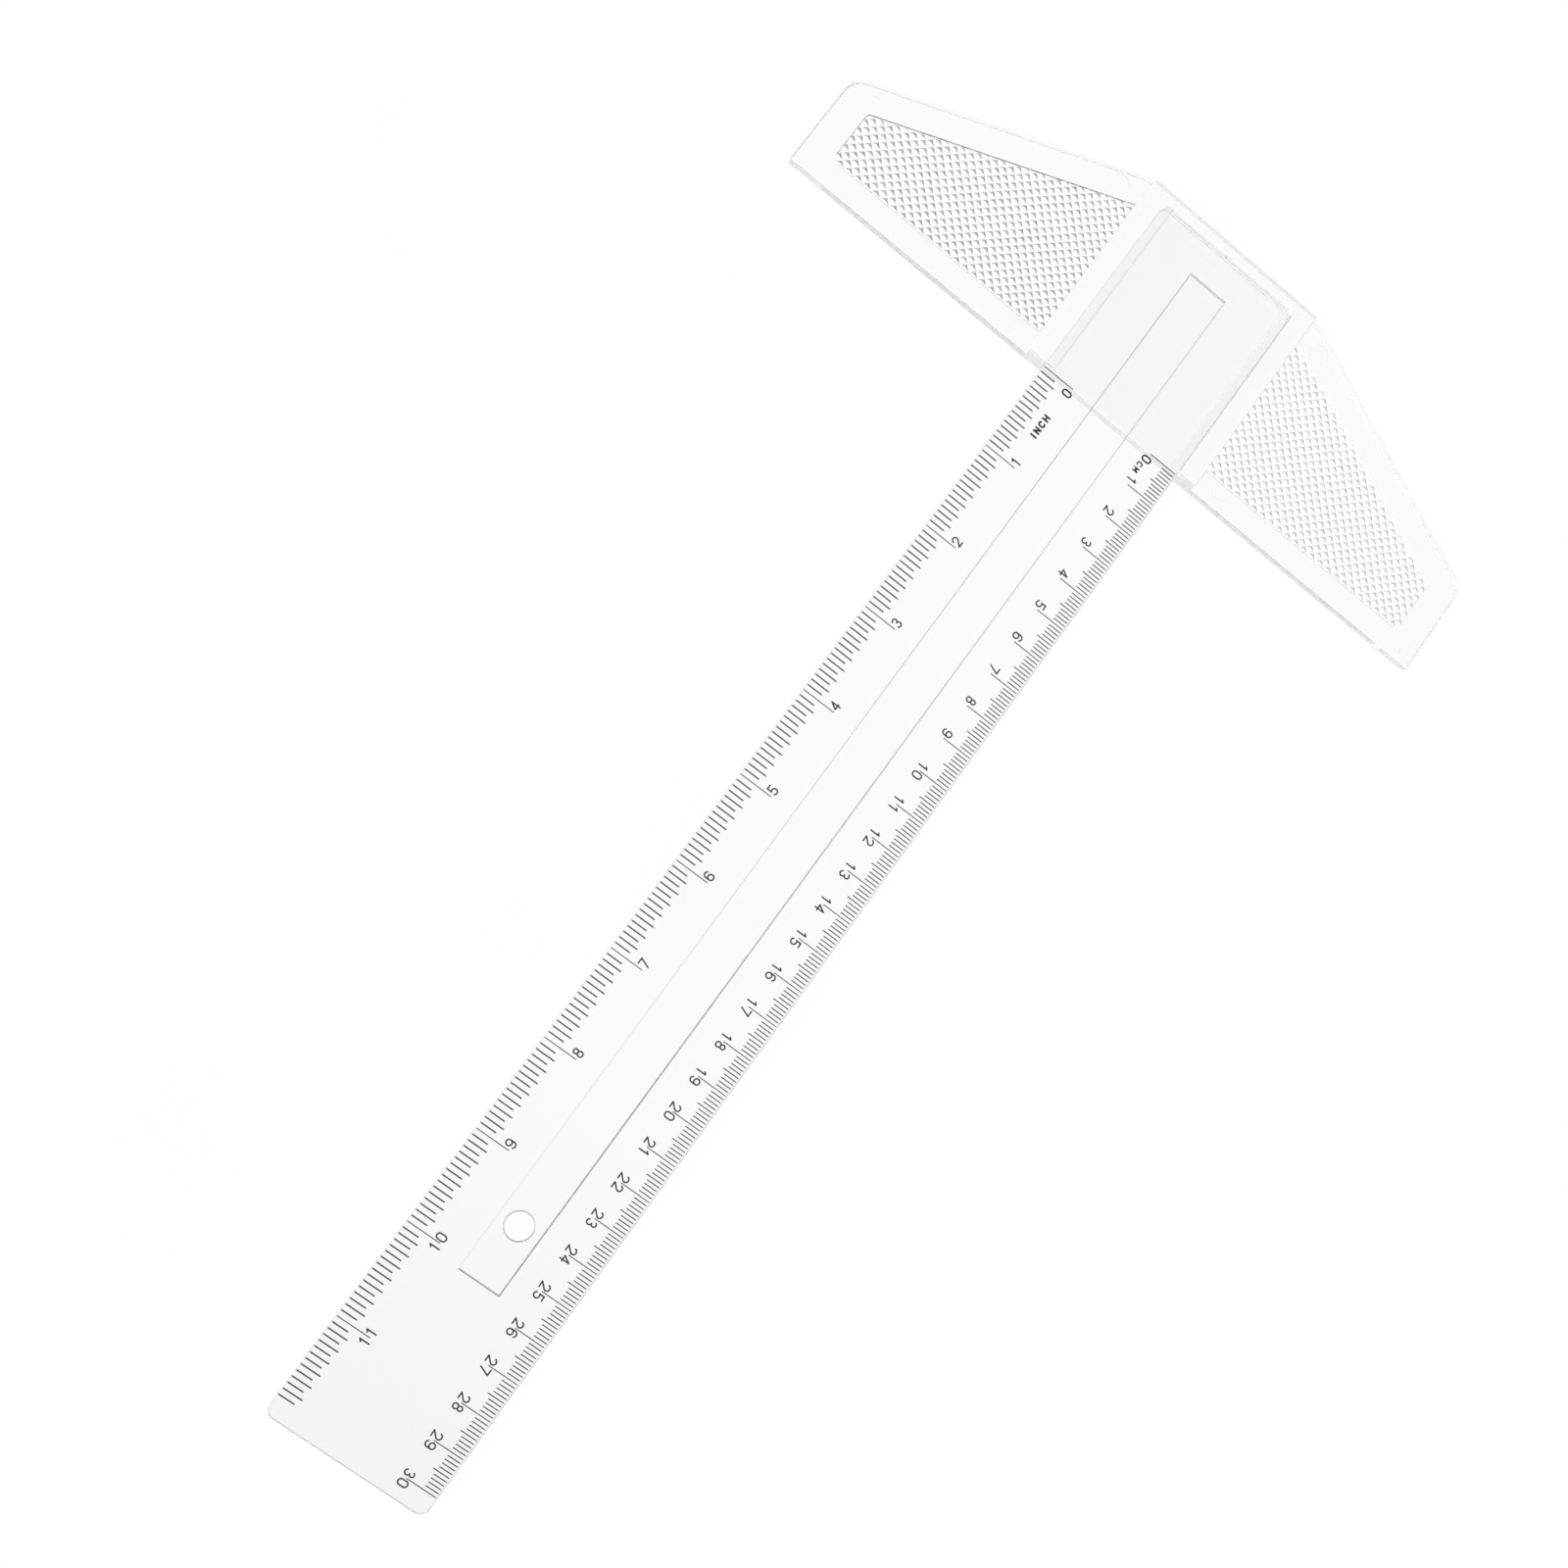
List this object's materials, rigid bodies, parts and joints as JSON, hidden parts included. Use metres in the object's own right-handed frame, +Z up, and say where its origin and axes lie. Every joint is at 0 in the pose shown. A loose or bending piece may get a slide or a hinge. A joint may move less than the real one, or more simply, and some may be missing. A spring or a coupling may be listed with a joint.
{
  "type": "t square",
  "caption": "Clear plastic T-square: a winged head whose open channel holds a long flat blade ruled in inches and centimetres, with a hanging hole.",
  "frame": {"origin": "middle of the head's working edge, on the surface that the head lies on", "axes": "+X along the working edge towards the centimetre scale, +Y from the working edge towards the head's back, +Z up; the blade points along -Y"},
  "size_m": [0.199, 0.3627, 0.0062],
  "materials": {
    "clear_head": "clear colourless moulded polystyrene, polished, with knurled grip panels",
    "clear_blade": "clear colourless moulded polystyrene, polished",
    "graduation_ink": "screen-printed black ink, fine lines",
    "numeral_ink": "screen-printed black ink, lettering"
  },
  "bodies": {
    "head": {"head": "clear_head"},
    "blade": {"blade": "clear_blade", "metric_graduations": "graduation_ink", "metric_numerals": "numeral_ink", "metric_legend": "numeral_ink", "inch_graduations": "graduation_ink", "inch_numerals": "numeral_ink", "inch_legend": "numeral_ink"}
  },
  "joints": [
    {"name": "blade_slide", "type": "slide", "parent": "head", "child": "blade", "axis": [0, -1, 0], "range_m": [0, 0.0525]}
  ]
}
